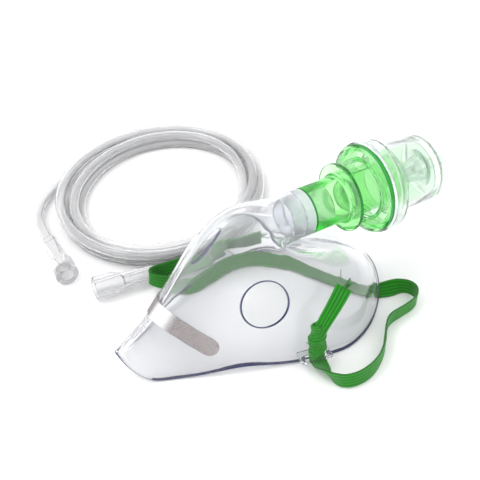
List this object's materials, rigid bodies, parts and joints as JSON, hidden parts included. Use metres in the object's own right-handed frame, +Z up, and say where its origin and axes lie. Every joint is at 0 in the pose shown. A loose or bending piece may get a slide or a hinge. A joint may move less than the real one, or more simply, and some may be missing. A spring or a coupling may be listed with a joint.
{
  "type": "aerosol face mask kit",
  "caption": "Clear aerosol face mask with a nose clip and elastic head strap, a green-lidded small-volume nebuliser in its port, and a coil of air tubing with funnel connectors.",
  "frame": {"origin": "on the surface it rests on, under the middle of the box around the mask and the nebuliser, without strap and tubing", "axes": "+X along the nebuliser's axis, from the nose end of the mask to the air inlet; +Z up, out of the face opening"},
  "size_m": [0.182, 0.2389, 0.0723],
  "materials": {
    "soft_vinyl": "clear and glossy, very faint blue-grey",
    "nose_strip": "brushed lengthwise",
    "clear_plastic": "clear and glossy",
    "green_plastic": "see-through green, glossy",
    "pale_green_plastic": "see-through pale green, glossy",
    "green_elastic": "ribbed woven elastic",
    "tube_vinyl": "clear, slightly milky, glossy",
    "connector_vinyl": "clear, slightly milky, glossy"
  },
  "bodies": {
    "mask": {"mask_shell": "soft_vinyl", "nose_clip": "nose_strip", "strap_near_loop": "green_elastic", "strap_crossing": "green_elastic", "strap_far_loop": "green_elastic", "near_knot": "green_elastic", "far_knot": "green_elastic", "near_tail": "green_elastic", "far_tail": "green_elastic"},
    "adaptor": {"port_adaptor": "clear_plastic"},
    "lid": {"neb_lid": "green_plastic", "baffle_sleeve": "pale_green_plastic"},
    "jet": {"jet_cap": "pale_green_plastic"},
    "cup": {"medicine_cup": "clear_plastic"},
    "tubing": {"tube_coil": "tube_vinyl", "tube_tail_a": "tube_vinyl", "tube_tail_b": "tube_vinyl", "connector_a": "connector_vinyl", "connector_b": "connector_vinyl"}
  },
  "joints": [
    {"name": "adaptor_pull", "type": "slide", "parent": "mask", "child": "adaptor", "axis": [1, 0, 0], "range_m": [0, 0.03]},
    {"name": "lid_swivel", "type": "hinge", "parent": "adaptor", "child": "lid", "pos_m": [0.02, 0, 0.05], "axis": [1, 0, 0], "continuous": true},
    {"name": "cup_turn", "type": "hinge", "parent": "lid", "child": "cup", "pos_m": [0.06, 0, 0.05], "axis": [1, 0, 0], "range_deg": [0, 90]},
    {"name": "jet_lift", "type": "slide", "parent": "cup", "child": "jet", "axis": [-1, 0, 0], "range_m": [0, 0.002]},
    {"name": "tubing_lift", "type": "slide", "parent": "mask", "child": "tubing", "axis": [0, 0, 1], "range_m": [0, 0.1]}
  ]
}
